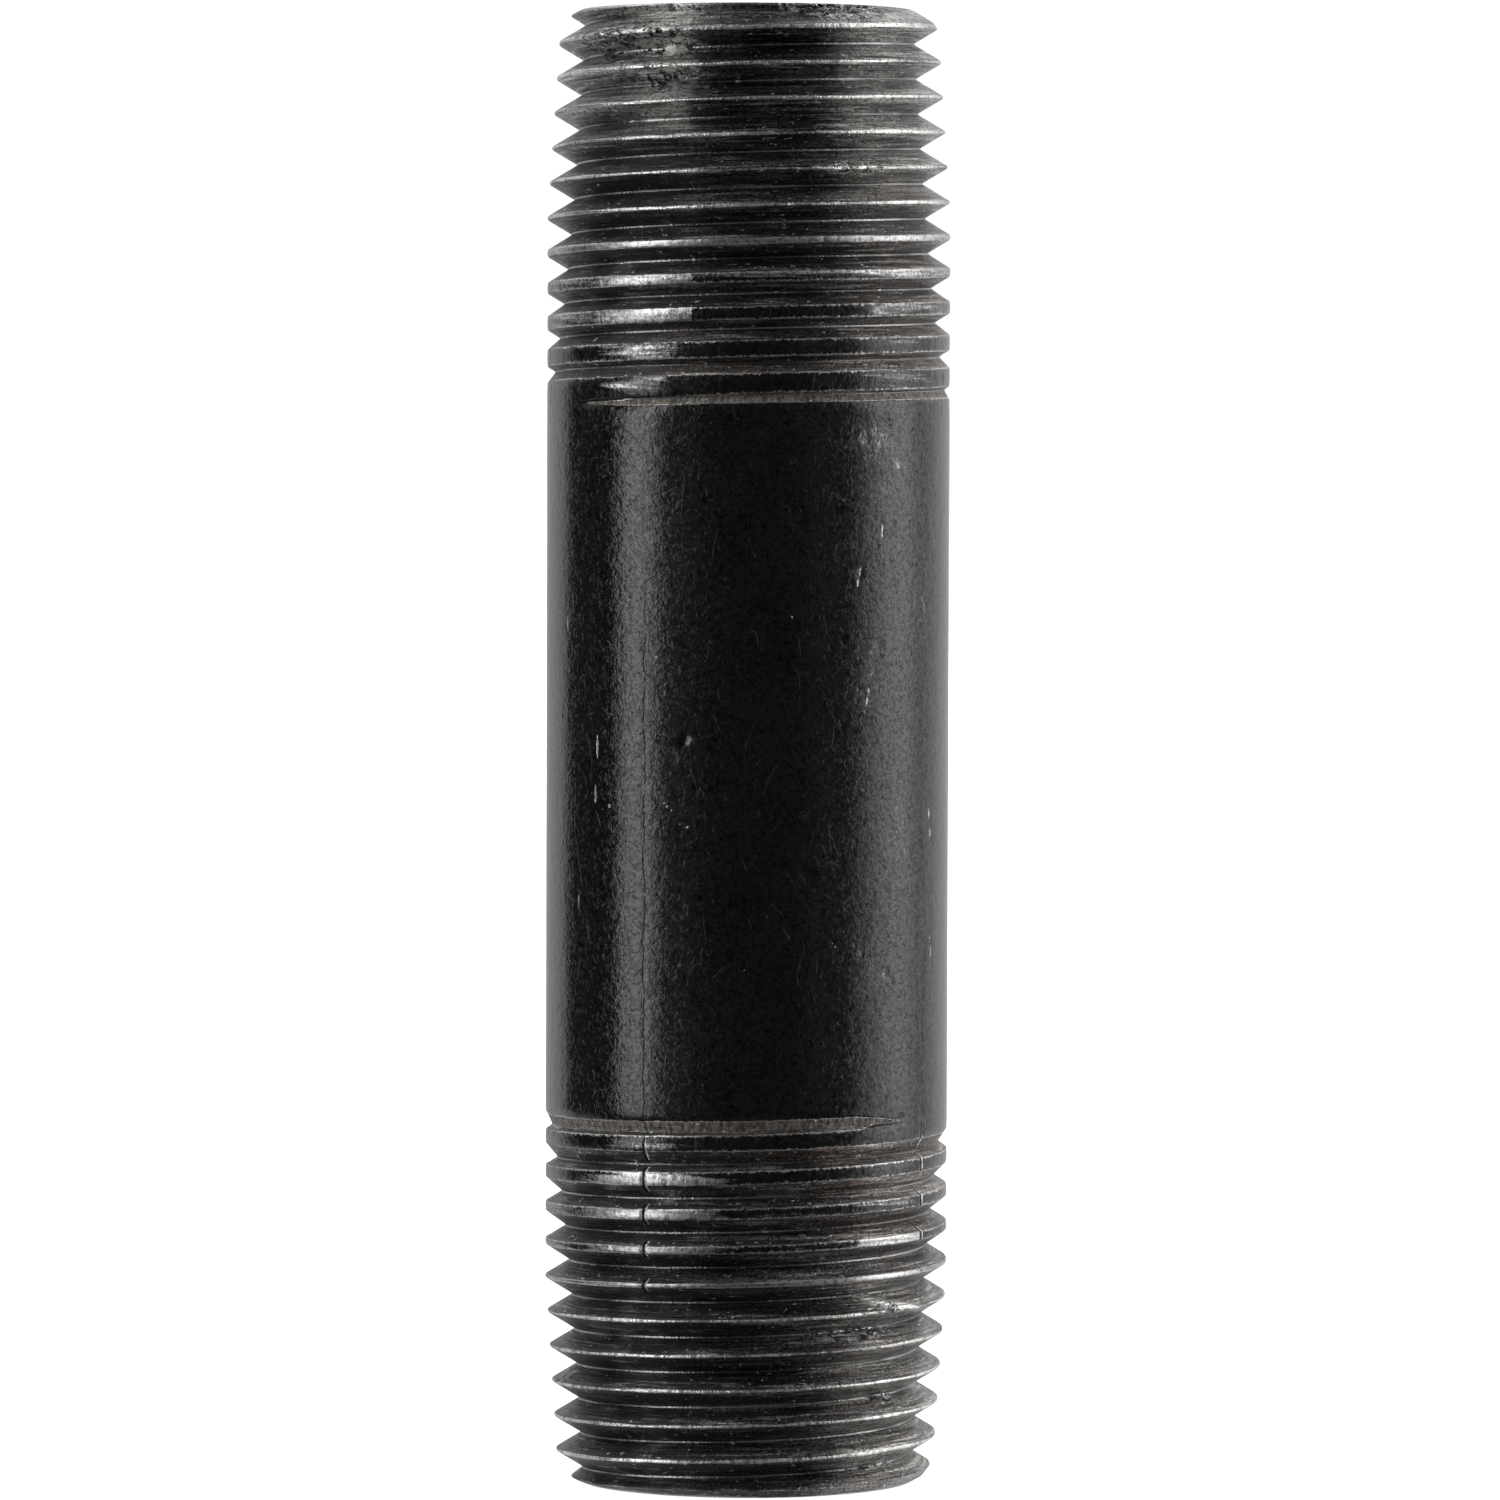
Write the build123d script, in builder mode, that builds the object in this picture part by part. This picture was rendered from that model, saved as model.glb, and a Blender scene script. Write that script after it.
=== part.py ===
from build123d import *

import os
from math import cos, pi, radians, sin, tan

# Threaded pipe nipple: a short length of welded steel pipe with a right-hand male taper thread cut
# on each end. Millimetres, +Z up along the pipe, origin at the centre of the lower end face.
# It is one piece of pipe in reality: its plain barrel, its two threaded ends and the weld's inner
# bead are separate solids that meet face to face.

# Driving dimensions: the pipe
overall_length = 76.7
pipe_diameter = 21.0
bore_diameter = 15.5
pipe_radius = pipe_diameter / 2
bore_radius = bore_diameter / 2

# Driving dimensions: the thread, 14 turns to the inch with 60 degree flanks
thread_pitch = 25.4 / 14
flank_angle = 30.0
root_flat = 0.19
crest_radius_at_end = 9.80
crest_slope = 0.066
full_crest_radius = 10.46
root_radius_at_end = 8.60
root_slope = 0.055
run_out_lift = 0.61
cutter_overlap = 0.09

# Driving dimensions: how far each thread runs in from its end face, and where its last groove dies
# out, as an angle about the axis
lower_run = 19.51
lower_run_out_angle = 328.0
upper_run = 20.65
upper_run_out_angle = 205.0
plain_margin = 3.3
run_out_sweep = 60.0

# Driving dimensions: end faces
nose_length = 1.1
nose_radius = 8.75
nose_shoulder_radius = 9.45
nose_shoulder_inset = 0.28
bore_chamfer = 0.3

# Driving dimensions: the weld's bead along the bore
bead_angle = 239.5
bead_width = 1.8
bead_height = 0.18
bead_crown_share = 0.4
bead_facets = 6
bead_inset = 0.6

# Worked out from the above
crest_depth = crest_radius_at_end - root_radius_at_end
cutter_depth = crest_depth + cutter_overlap
flank_spread = cutter_depth * tan(radians(flank_angle))
groove_start = -(root_flat / 2 + flank_spread) - thread_pitch / 4
lower_zone = lower_run + plain_margin
upper_zone = upper_run + plain_margin
points_per_turn = 24


def root_radius(inset, run):
    """Radius of the thread's root at a distance in from the end face, lifting towards the run-out."""
    taper = root_radius_at_end + root_slope * inset
    lift = run_out_lift * (max(inset, 0) / run) ** 3
    to_go = (run - inset) / thread_pitch * 360
    if to_go >= run_out_sweep:
        return taper + lift
    done = 1 - to_go / run_out_sweep
    ease = done * done * (3 - 2 * done)
    clear_of_pipe = pipe_radius + cutter_overlap
    return taper + lift + (clear_of_pipe - taper - lift) * ease


def groove_section(inset, run, run_out_angle, end_z, inward):
    """Four corners of the V groove where it is this far in from the end face at end_z."""
    angle = radians(run_out_angle) + inward * 2 * pi * (inset - run) / thread_pitch
    inner = root_radius(inset, run)
    outer = inner + cutter_depth
    narrow = root_flat / 2
    wide = narrow + flank_spread
    corners = [(inner, -narrow), (inner, narrow), (outer, wide), (outer, -wide)]
    return [
        Vector(radius * cos(angle), radius * sin(angle), end_z + inward * (inset + shift))
        for radius, shift in corners
    ]


def groove_turn(first, last, run, run_out_angle, end_z, inward):
    """Up to one turn of the groove as a closed solid with four helical sides and two flat ends."""
    count = max(4, round(points_per_turn * (last - first) / thread_pitch))
    insets = [first + (last - first) * step / count for step in range(count + 1)]
    sections = [groove_section(inset, run, run_out_angle, end_z, inward) for inset in insets]
    rails = [Edge.make_spline([section[corner] for section in sections]) for corner in range(4)]
    sides = [
        Face.make_surface_from_curves(rails[corner], rails[(corner + 1) % 4]) for corner in range(4)
    ]
    ends = [Face(Wire.make_polygon(section, close=True)) for section in (sections[0], sections[-1])]
    return Solid(Shell(sides + ends))


def groove_turns(run, run_out_angle, end_z, inward):
    """The whole thread groove, cut into turns that follow each other."""
    turns = []
    last = run
    while last > groove_start:
        first = max(groove_start, last - thread_pitch)
        turns.append(groove_turn(first, last, run, run_out_angle, end_z, inward))
        last = first
    return turns


def end_profile(zone, end_z, inward):
    """Half section of a threaded end before its groove is cut: nose, tapered crests, then the pipe's
    own skin, which the thread cutter has rubbed down a little."""
    full_inset = (full_crest_radius - crest_radius_at_end) / crest_slope
    nose_top = crest_radius_at_end + crest_slope * nose_length
    outline = [
        (bore_radius, bore_chamfer),
        (bore_radius + bore_chamfer, 0),
        (nose_radius, 0),
        (nose_shoulder_radius, nose_shoulder_inset),
        (nose_top, nose_length),
        (full_crest_radius, full_inset),
        (pipe_radius, zone),
        (bore_radius, zone),
    ]
    return [(radius, end_z + inward * inset) for radius, inset in outline]


# Lower threaded end
lower_groove = groove_turns(lower_run, lower_run_out_angle, 0, 1)
with BuildPart() as lower_thread:
    with BuildSketch(Plane.XZ):
        with BuildLine():
            Polyline(*end_profile(lower_zone, 0, 1), close=True)
        make_face()
    revolve(axis=Axis.Z)
    add(lower_groove, mode=Mode.SUBTRACT)
lower_thread.part.label = "lower_thread"

# Upper threaded end
upper_groove = groove_turns(upper_run, upper_run_out_angle, overall_length, -1)
with BuildPart() as upper_thread:
    with BuildSketch(Plane.XZ):
        with BuildLine():
            Polyline(*end_profile(upper_zone, overall_length, -1), close=True)
        make_face()
    revolve(axis=Axis.Z)
    add(upper_groove, mode=Mode.SUBTRACT)
upper_thread.part.label = "upper_thread"

# Plain barrel between the threads
with BuildPart() as barrel:
    with BuildSketch(Plane.XY.offset(lower_zone)):
        Circle(pipe_radius)
        Circle(bore_radius, mode=Mode.SUBTRACT)
    extrude(amount=overall_length - lower_zone - upper_zone)
barrel.part.label = "barrel"

# Weld bead along the bore: a low ridge with a flat crown, its foot laid along the bore's wall
bead_half_angle = (bead_width / 2) / bore_radius * 180 / pi
foot_angles = [bead_half_angle * (2 * step / bead_facets - 1) for step in range(bead_facets + 1)]
crown_angles = [bead_half_angle * bead_crown_share, -bead_half_angle * bead_crown_share]
foot = [Vector(bore_radius, 0).rotate(Axis.Z, bead_angle + angle) for angle in foot_angles]
crown_radius = bore_radius - bead_height
crown = [Vector(crown_radius, 0).rotate(Axis.Z, bead_angle + angle) for angle in crown_angles]
with BuildPart() as weld_seam:
    with BuildSketch(Plane.XY.offset(bead_inset)):
        with BuildLine():
            Polyline(*foot, *crown, close=True)
        make_face()
    extrude(amount=overall_length - 2 * bead_inset)
weld_seam.part.label = "weld_seam"

os.makedirs("parts", exist_ok=True)
export_step(lower_thread.part, "parts/lower_thread.step")
export_step(upper_thread.part, "parts/upper_thread.step")
export_step(barrel.part, "parts/barrel.step")
export_step(weld_seam.part, "parts/weld_seam.step")
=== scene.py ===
import math

import bpy
import numpy as np
from mathutils import Matrix, Vector


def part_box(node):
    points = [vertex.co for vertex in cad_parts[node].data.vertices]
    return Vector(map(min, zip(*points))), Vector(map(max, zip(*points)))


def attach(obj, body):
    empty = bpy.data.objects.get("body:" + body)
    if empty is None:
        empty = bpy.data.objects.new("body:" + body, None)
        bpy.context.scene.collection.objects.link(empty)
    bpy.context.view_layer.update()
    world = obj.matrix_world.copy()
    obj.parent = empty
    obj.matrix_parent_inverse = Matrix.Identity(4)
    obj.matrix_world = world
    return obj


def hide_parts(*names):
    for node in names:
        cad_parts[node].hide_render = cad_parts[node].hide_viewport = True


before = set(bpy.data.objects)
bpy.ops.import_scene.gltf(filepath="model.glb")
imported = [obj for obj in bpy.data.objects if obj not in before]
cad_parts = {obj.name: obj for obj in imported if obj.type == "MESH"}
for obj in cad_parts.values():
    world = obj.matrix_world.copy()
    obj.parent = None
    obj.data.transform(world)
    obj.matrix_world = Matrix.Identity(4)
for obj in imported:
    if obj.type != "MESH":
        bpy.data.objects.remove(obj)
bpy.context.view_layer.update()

# A threaded pipe nipple: one length of welded steel pipe, black-lacquered, with a right-hand taper
# thread cut on each end. Shapes are worked out in millimetres and made in metres. Places about the
# axis are degrees: 270 faces the camera and 180 is at its left.

MM = 0.001
TURN = 2 * math.pi

# ---- The pipe and its thread ----
# The frame gives the boxes. The other values are the part's own, apart from a narrower, deeper root
# with more lift and a shorter run-out, as in the photo.
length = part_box("upper_thread")[1].z / MM
pipe_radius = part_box("barrel")[1].x / MM
lower_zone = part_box("lower_thread")[1].z / MM
upper_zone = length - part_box("upper_thread")[0].z / MM
bore_radius = 7.75
bore_chamfer = 0.3
bead_height = 0.18
bead_half_width = 0.62

thread_pitch = 25.4 / 14
flank_slope = math.tan(math.radians(30))
root_flat = 0.08
crest_radius_at_end = 9.80
crest_slope = 0.066
root_radius_at_end = 8.505
root_slope = 0.055
run_out_lift = 0.71
run_out_sweep = 30.0
nose_length = 1.1
nose_radius = 8.75

lower_run = 19.51
lower_run_out_angle = 328.0
upper_run = 20.65
upper_run_out_angle = 205.0

# Where the pipe's two long skin marks lie about the axis: the weld line and a second line
weld_angle = 239.8
mark_angle = 329.8

# The run-out: how many turns it reaches back, and how far it draws the groove to the end, in mm
run_out_reach = 1.2
run_out_draw = 0.22

# Wear of the crests in mm: the groove's wander, the rounded edges and the burrs on them
groove_wander = 0.015
edge_drop = 0.055
lip_width = 0.05
lip_drop = 0.018
burr_height = 0.014

# Inset at which the tapered crests meet the pipe's own skin
crests_meet_skin = (pipe_radius - crest_radius_at_end) / crest_slope

# Mesh fineness
columns = 464
flank_points = 4
barrel_rows = 172
bore_rings = 30


# ---- Seeded noise on the pipe's surface ----
def smooth(t):
    """Eases 0..1 to 0..1 with flat ends."""
    t = np.clip(t, 0.0, 1.0)
    return t * t * (3 - 2 * t)


def ring_noise(angle, height, cells, cell_height, seed):
    """Noise from -1 to 1 over the pipe's skin: cells around the pipe, each cell_height mm tall."""
    rng = np.random.default_rng(seed)
    rows = 1024
    lattice = rng.uniform(-1, 1, (rows, cells))
    u = np.mod(angle / TURN, 1.0) * cells
    v = height / cell_height + 64
    u0, v0 = np.floor(u).astype(int), np.floor(v).astype(int)
    fu, fv = smooth(u - u0), smooth(v - v0)
    u0, u1 = u0 % cells, (u0 + 1) % cells
    v0, v1 = v0 % rows, (v0 + 1) % rows
    low = lattice[v0, u0] * (1 - fu) + lattice[v0, u1] * fu
    high = lattice[v1, u0] * (1 - fu) + lattice[v1, u1] * fu
    return low * (1 - fv) + high * fv


def window(value, rise_from, rise_to, fall_from, fall_to):
    """1 between rise_to and fall_from, easing to 0 outside."""
    rise = smooth((value - rise_from) / (rise_to - rise_from))
    return rise * smooth((fall_to - value) / (fall_to - fall_from))


def fades(value, start, over):
    """1 up to start, easing to 0 over the next stretch."""
    return 1 - smooth((value - start) / over)


def most(*masks):
    """The largest of several masks at each place."""
    return np.maximum.reduce(np.broadcast_arrays(*masks))


def layered_noise(angle, height, cells, cell_height, seed, octaves=3):
    """Ring noise with finer and fainter copies of itself added."""
    total, weight = 0.0, 0.0
    for octave in range(octaves):
        share = 0.5 ** octave
        part = ring_noise(angle, height, cells * 2 ** octave, cell_height / 2 ** octave, seed + octave)
        total = total + share * part
        weight += share
    return total / weight


def angle_apart(angle, centre_degrees):
    """Signed difference between angles, as millimetres along the pipe's skin."""
    apart = np.mod(angle - math.radians(centre_degrees) + math.pi, TURN) - math.pi
    return apart * pipe_radius


def pit(angle, height, centre_degrees, centre_height, across, along, tilt=0.0):
    """1 at a spot on the skin, falling to 0 outside an ellipse of the given half sizes in mm."""
    x = angle_apart(angle, centre_degrees)
    z = height - centre_height
    c, s = math.cos(math.radians(tilt)), math.sin(math.radians(tilt))
    u, v = (c * x + s * z) / across, (-s * x + c * z) / along
    return np.exp(-(u * u + v * v))


# ---- Threaded end: profile ----
def top_radius(inset):
    """Radius of the uncut surface: rounded nose, tapered crests, then the pipe's own skin."""
    t = np.clip(inset / nose_length, 0, 1)
    nose_top = crest_radius_at_end + crest_slope * nose_length
    nose = nose_radius + (nose_top - nose_radius) * t ** 0.55
    crest = crest_radius_at_end + crest_slope * np.maximum(inset, 0)
    return np.minimum(np.where(inset < nose_length, nose, crest), pipe_radius)


def root_radius(inset, run):
    """Radius at the bottom of the groove, lifting until it dies out at the run's end."""
    share = np.maximum(inset, 0) / run
    cut = root_radius_at_end + root_slope * inset + run_out_lift * share ** 3
    done = smooth(1 - (run - inset) / thread_pitch * 360 / run_out_sweep)
    return np.where(inset < run, cut + (pipe_radius - cut) * done, pipe_radius)


def run_out_share(inset, run):
    """1 at the run-out, dying away over the turns of the groove before it."""
    return np.exp(-np.maximum(run - inset, 0) / thread_pitch / run_out_reach)


def groove_centre(angle, inset, run, seed):
    """Inset of the groove's middle: it wanders, and its last turns are drawn back to the end."""
    wander = groove_wander * layered_noise(angle, inset, 50, 0.9, seed + 1)
    return inset - run_out_draw * run_out_share(inset, run) + wander


def crest_edge(angle, here, foot, root, lean, side, seed):
    """Where the flank that starts at foot meets the uncut surface, frayed, and 1 where a groove is
    cut at all. side is 1 for a flank that rises towards the barrel, -1 towards the end face."""
    reach = 0.6 + 0 * here
    for _ in range(6):
        reach = np.maximum(top_radius(foot + side * reach) - root, 0) * lean
    # Where the old skin is cut the edge is torn
    torn = smooth((here - 9.5) / 4)
    fray = layered_noise(angle, here, 160, 0.5, seed)
    cut = (0.010 + 0.022 * torn) * fray + 0.09 * torn * np.maximum(-fray - 0.42, 0)
    alive = smooth(reach / 0.12)
    return foot + side * (reach + cut * alive), alive


def thread_rows(turn, angle, end):
    """Rows of the threaded surface for every column, running in from before the end face. Each cell
    is one crest, from the foot of the groove on its end side to the foot of the next groove.
    turn is how far round each column is from the run-out, as a share of a turn."""
    run, zone, seed = end["run"], end["zone"], end["seed"]
    far = 3.0  # mm from the edge of a crest, where no groove is cut
    rows = []

    def add(inset, radius, skin, ramp=0.0, root=0.0):
        """skin is mm in from the crest's edge, below 0 down in the groove; ramp is how far the flank
        lies down; root is 1 at the bottom of the groove."""
        rows.append((inset, radius, skin, ramp + 0 * inset, root + 0 * inset))

    rising = [step / (flank_points + 1) for step in range(flank_points + 2)]
    first_cell = -math.ceil(run / thread_pitch) - 2
    last_cell = math.ceil((zone - run) / thread_pitch) + 1
    for cell in range(first_cell, last_cell):
        here, after = run + thread_pitch * (turn + cell), run + thread_pitch * (turn + cell + 1)
        root_a, root_b = root_radius(here, run), root_radius(after, run)
        foot_a = groove_centre(angle, here, run, seed) + root_flat / 2
        foot_b = groove_centre(angle, after, run, seed) - root_flat / 2
        lean = flank_slope + end["lead"] * run_out_share(here, run)
        edge_a, alive_a = crest_edge(angle, here, foot_a, root_a, lean, 1, seed + 11)
        edge_b, alive_b = crest_edge(angle, here, foot_b, root_b, flank_slope, -1, seed + 21)
        middle = (edge_a + edge_b) / 2
        edge_a, edge_b = np.minimum(edge_a, middle - 0.03), np.maximum(edge_b, middle + 0.03)
        lip = np.minimum(lip_width, (edge_b - edge_a) / 4)
        bare = crest_radius_at_end + crest_slope * middle < pipe_radius
        ramp = np.exp(-np.maximum(run - here, 0) / thread_pitch / 0.7) * alive_a

        def from_edges(inset):
            """Distance in from the nearer edge of the crest; far away where no groove is cut."""
            from_a = inset - edge_a + far * (1 - alive_a) + 0.25 * ramp
            from_b = edge_b - inset + far * (1 - alive_b)
            return np.minimum(from_a, from_b)

        def add_lip(inset, alive, burr_seed):
            """The rounded and burred shoulder just inside the crest's edge."""
            burr = burr_height * bare * (0.5 + 0.5 * ring_noise(angle, here, 240, 0.5, burr_seed))
            add(inset, top_radius(inset) - (lip_drop - burr) * alive, from_edges(inset))

        def add_flank(foot, edge, root, alive, steps, ramp=0.0):
            """Rows of one flank; 0 is its foot at the root and 1 the crest's edge."""
            depth = np.maximum(top_radius(edge) - root, 0)
            top = top_radius(edge) - edge_drop * alive
            for t in steps:
                skin = from_edges(edge) if t == 1 else far - (far + (1 - t) * depth) * alive
                add(foot + (edge - foot) * t, root + (top - root) * t, skin, ramp, alive * (t == 0))

        add_flank(foot_a, edge_a, root_a, alive_a, rising, ramp)
        add_lip(edge_a + lip, alive_a, seed + 31)
        add(middle, top_radius(middle), from_edges(middle))
        add_lip(edge_b - lip, alive_b, seed + 32)
        add_flank(foot_b, edge_b, root_b, alive_b, rising[::-1])
    per_cell = 2 * flank_points + 7
    return [np.stack(values) for values in zip(*rows)], per_cell


# ---- Threaded end: wear and damage ----
def spots(angle, height, table):
    """The strongest of several pits. Each row is a strength and then what pit() takes."""
    return most(*(strength * pit(angle, height, *where) for strength, *where in table))


def thread_damage(angle, inset, rise, seed):
    """Millimetres to take off the radius: chatter, chipped crests, tears. rise is 0 root, 1 crest."""
    chatter = 0.006 * layered_noise(angle, inset, 90, 0.12, seed + 41)
    tearing = layered_noise(angle, inset, 120, 0.35, seed + 42)
    tears = 0.05 * np.maximum(tearing - 0.5, 0) * (1 - rise) * rise * 4
    chips = layered_noise(angle, inset, 200, 0.8, seed + 43, 2)
    chipped = 0.16 * np.maximum(chips - 0.52, 0) * smooth((rise - 0.75) * 4)
    return chatter * (0.3 + rise) + tears + chipped


def lower_damage(angle, inset, rise):
    """The lower end's own marks: the two long skin marks notch its crests, and one flank is torn."""
    high = smooth((rise - 0.45) / 0.3)
    weld = np.exp(-(angle_apart(angle, weld_angle) / 0.10) ** 2) * window(inset, 9.0, 11.5, 17.9, 18.3)
    mark = np.exp(-(angle_apart(angle, mark_angle) / 0.085) ** 2) * window(inset, 10.5, 12.5, 19.6, 20.2)
    off = (0.07 * weld + 0.05 * mark) * high
    ragged = 0.8 + 0.2 * ring_noise(angle, inset, 200, 0.2, 71)
    off = off + 0.20 * pit(angle, inset, 320, 9.45, 2.6, 0.22, -11) * smooth(rise / 0.4) * ragged
    off = off - 0.18 * pit(angle, inset, 320, 9.80, 2.8, 0.22, -11) * (1 - rise)
    lumps = ring_noise(angle, inset, 110, 0.4, 73)
    off = off - 0.06 * pit(angle, inset, 322, 7.4, 1.4, 0.5) * high * lumps
    off = off + 0.12 * pit(angle, inset, 323, 2.1, 1.6, 0.25, 5) * rise
    return off + 0.10 * pit(angle, inset, 196, 5.6, 0.5, 0.3) * rise


def upper_damage(angle, inset, rise):
    """The upper end's own marks: torn first turns at the left, chipped rim and lumps at the right."""
    rough = layered_noise(angle, inset, 90, 0.45, 81)
    shorn = pit(angle, inset, 232, 1.75, 3.4, 0.75) + 0.7 * pit(angle, inset, 240, 0.5, 3.0, 0.3)
    cracks = np.maximum(0.12 - np.abs(rough), 0) / 0.12
    off = shorn * (0.22 * cracks + 0.06 * np.maximum(rough, 0)) * smooth(rise / 0.4)
    off = off + 0.16 * pit(angle, inset, 242, 2.55, 1.3, 0.18, -10)
    rim = pit(angle, inset, 301, 0.25, 2.2, 0.3) + 0.8 * pit(angle, inset, 284, 0.1, 2.6, 0.22)
    off = off + 0.45 * rim * np.maximum(layered_noise(angle, inset, 130, 0.5, 91), -0.05)
    crest = smooth((rise - 0.5) * 2)
    lumps = ring_noise(angle, inset, 120, 0.4, 93)
    off = off - 0.16 * pit(angle, inset, 299, 8.4, 2.4, 0.5) * crest * lumps
    for depth, *where in (
        (0.10, 283, 10.2, 0.30, 0.40), (0.10, 301, 8.4, 0.35, 0.40), (0.08, 309, 8.4, 0.30, 0.40),
        (0.12, 273, 13.35, 0.32, 0.16), (-0.08, 269.5, 6.4, 0.22, 0.40),
    ):
        off = off + depth * pit(angle, inset, *where) * crest
    return off


def upper_marks(angle, inset):
    """Where the upper end is rubbed bare, filmed brown or torn, with painted light: sheen and partly
    bare steel painted in the bands facing the side lights, and painted shade, most at the left.
    """
    degrees = np.degrees(np.mod(angle, TURN))
    drift = degrees + 9 * layered_noise(angle, inset, 40, 1.2, 411)
    # Bare metal at the cut end and at scuffs; in the bands that face the side lights it is partly bare
    # metal and partly a painted reflection of those lights, with the sharp edge of the left light
    bare = most(
        fades(inset, 13.0, 1.6),
        window(degrees, 214, 230, 253.0, 254.5) * fades(inset, 16.4, 0.8),
        0.46 * window(degrees, 180, 194, 216, 232) * fades(inset, 16.4, 0.8),
        0.50 * window(drift, 216, 232, 240, 258) * fades(inset, 19.8, 0.3),
        0.46 * window(drift, 296, 315, 330, 352) * fades(inset, 16.8, 0.8),
        0.30 * window(drift, 298, 314, 326, 346) * fades(inset, 19.8, 0.3),
        spots(angle, length - inset, scuffs),
    )
    film = most(
        window(degrees, 285, 305, 350, 360) * smooth((inset - 8) / 9),
        0.35 * smooth((inset - 6) / 4),
        smooth((inset - 17.6) / 1.2),
        0.7 * window(degrees, 215, 230, 250, 262) * smooth((inset - 15.5) / 1.5),
    )
    # Painted highlight: a sheen in the bands that face the left and right side lights near the end, and
    # a stronger one over the lifted torn metal
    left_band_sheen = window(drift, 186, 215, 252, 256) * fades(inset, 5.0, 3.0)
    painted_sheen = most(
        left_band_sheen * (0.85 + 0.5 * window(drift, 230, 242, 252, 256)),
        2.0 * pit(angle, inset, 242, 2.25, 1.1, 0.20, -10),
        0.55 * window(drift, 292, 308, 345, 360) * fades(inset, 8.0, 5.0),
    )
    # Painted shade: darker at the left side past the first turns, and a little darker all round further
    # in
    painted_shade = most(
        0.30 * smooth((inset - 8) / 4),
        0.95 * window(degrees, 176, 190, 240, 264) * smooth((inset - 5.5) / 3.5),
    )
    torn = spots(angle, inset, (
        (1.4, 230, 2.0, 3.8, 0.9), (0.6, 240, 3.8, 3.4, 0.8), (0.9, 301, 0.35, 3.4, 0.45),
        (0.7, 300, 8.4, 2.2, 0.35),
    ))
    torn = np.minimum(torn, 1.0)
    return {"bare": bare, "film": film, "painted_sheen": painted_sheen, "painted_shade": painted_shade, "torn": torn}


def lower_marks(angle, inset):
    """Where the lower end is rubbed bare, filmed brown or torn, with painted light: sheen and partly
    bare steel painted in the bands facing the side lights, and painted shade at the left.
    """
    degrees = np.degrees(np.mod(angle, TURN))
    drift = degrees + 9 * layered_noise(angle, inset, 40, 1.2, 511)
    # Bare metal at the cut end; in the bands that face the side lights it is partly bare metal and
    # partly a painted reflection of those lights
    bare = most(
        fades(inset, 11.7, 1.4),
        window(drift, 214, 226, 250, 275) * fades(inset, 16.2, 0.8),
        0.42 * window(degrees, 180, 194, 216, 232) * fades(inset, 14.4, 0.8),
        0.34 * window(drift, 262, 280, 320, 340) * fades(inset, 16.2, 0.8),
        0.50 * window(drift, 218, 232, 246, 266) * fades(inset, 18.4, 0.3),
        0.8 * window(drift, 296, 304, 325, 334) * fades(inset, 13.6, 0.8),
    )
    film = most(
        window(degrees, 280, 300, 345, 360) * smooth((inset - 9) / 8),
        smooth((inset - 16.8) / 1.2), 0.35,
    )
    # Painted highlight: a sheen in the band that faces the right side light near the end, and a stronger
    # one over the lifted torn metal
    painted_sheen = most(
        0.45 * window(drift, 292, 308, 345, 360) * fades(inset, 8.0, 4.0),
        2.2 * pit(angle, inset, 320, 9.80, 3.4, 0.24, -11),
    )
    # Painted shade: darker at the left side
    painted_shade = 0.96 * window(degrees, 176, 190, 245, 290)
    torn = spots(angle, inset, (
        (0.5, 320, 9.5, 2.6, 0.45, -11), (1.0, 306, 8.35, 2.6, 0.32), (0.7, 321, 4.9, 1.4, 0.4),
        (0.8, 196, 5.6, 1.0, 0.6), (0.8, 318, 1.6, 2.6, 0.5),
    ))
    return {"bare": bare, "film": film, "painted_sheen": painted_sheen, "painted_shade": painted_shade, "torn": torn}


# Scuffs on the plain skin: strength, angle, height, half width, half height
scuffs = (
    (0.50, 309, 54.4, 2.2, 1.2), (0.34, 318, 53.1, 1.6, 0.9), (0.30, 312, 51.6, 2.2, 2.4),
    (0.30, 306, 42.0, 1.6, 3.0), (0.30, 318, 34.0, 1.8, 2.6), (0.30, 304, 27.5, 1.8, 2.0),
    (0.30, 235, 33.0, 0.8, 4.0), (0.30, 328, 46.0, 1.2, 3.0),
)

# The barrel's longer scratches: angle, height, half width, half length, tilt from upright in degrees
scratches = (
    (306.0, 41.2, 0.055, 0.95, -14), (222.5, 38.6, 0.065, 0.80, 0), (222.0, 36.0, 0.060, 0.70, 3),
    (334.0, 34.6, 0.065, 1.10, 8), (335.0, 28.0, 0.060, 0.80, 10), (303.0, 47.4, 0.060, 0.85, -12),
    (296.0, 28.4, 0.060, 0.80, 40), (214.0, 30.5, 0.060, 0.45, 0), (252.0, 34.6, 0.050, 0.60, 62),
    (247.0, 35.6, 0.045, 0.50, 55), (311.0, 49.8, 0.060, 0.50, 5), (207.0, 45.0, 0.060, 0.60, 6),
)


def scratched(angle, height):
    """1 along each of the barrel's longer scratches."""
    return sum(pit(angle, height, *where) for where in scratches)


def barrel_marks(angle, height):
    """Where the barrel's lacquer is scuffed through or scratched."""
    torn = np.minimum(scratched(angle, height), 1.0)
    return {"bare": spots(angle, height, scuffs), "torn": torn}


# ---- Meshes ----
def bore_wall(angle, height):
    """Radius of the bore's wall: rolled scale, and the weld's low bead."""
    from_weld = np.abs(angle_apart(angle, weld_angle)) * bore_radius / pipe_radius
    bead = bead_height * np.exp(-(from_weld / bead_half_width) ** 4)
    bead = bead * (1 + 0.35 * ring_noise(angle, height, 12, 0.6, 5))
    rolled = 0.012 * layered_noise(angle, height, 70, 0.8, 6)
    return bore_radius + (np.minimum(rolled, 0.0) - bead)


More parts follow.
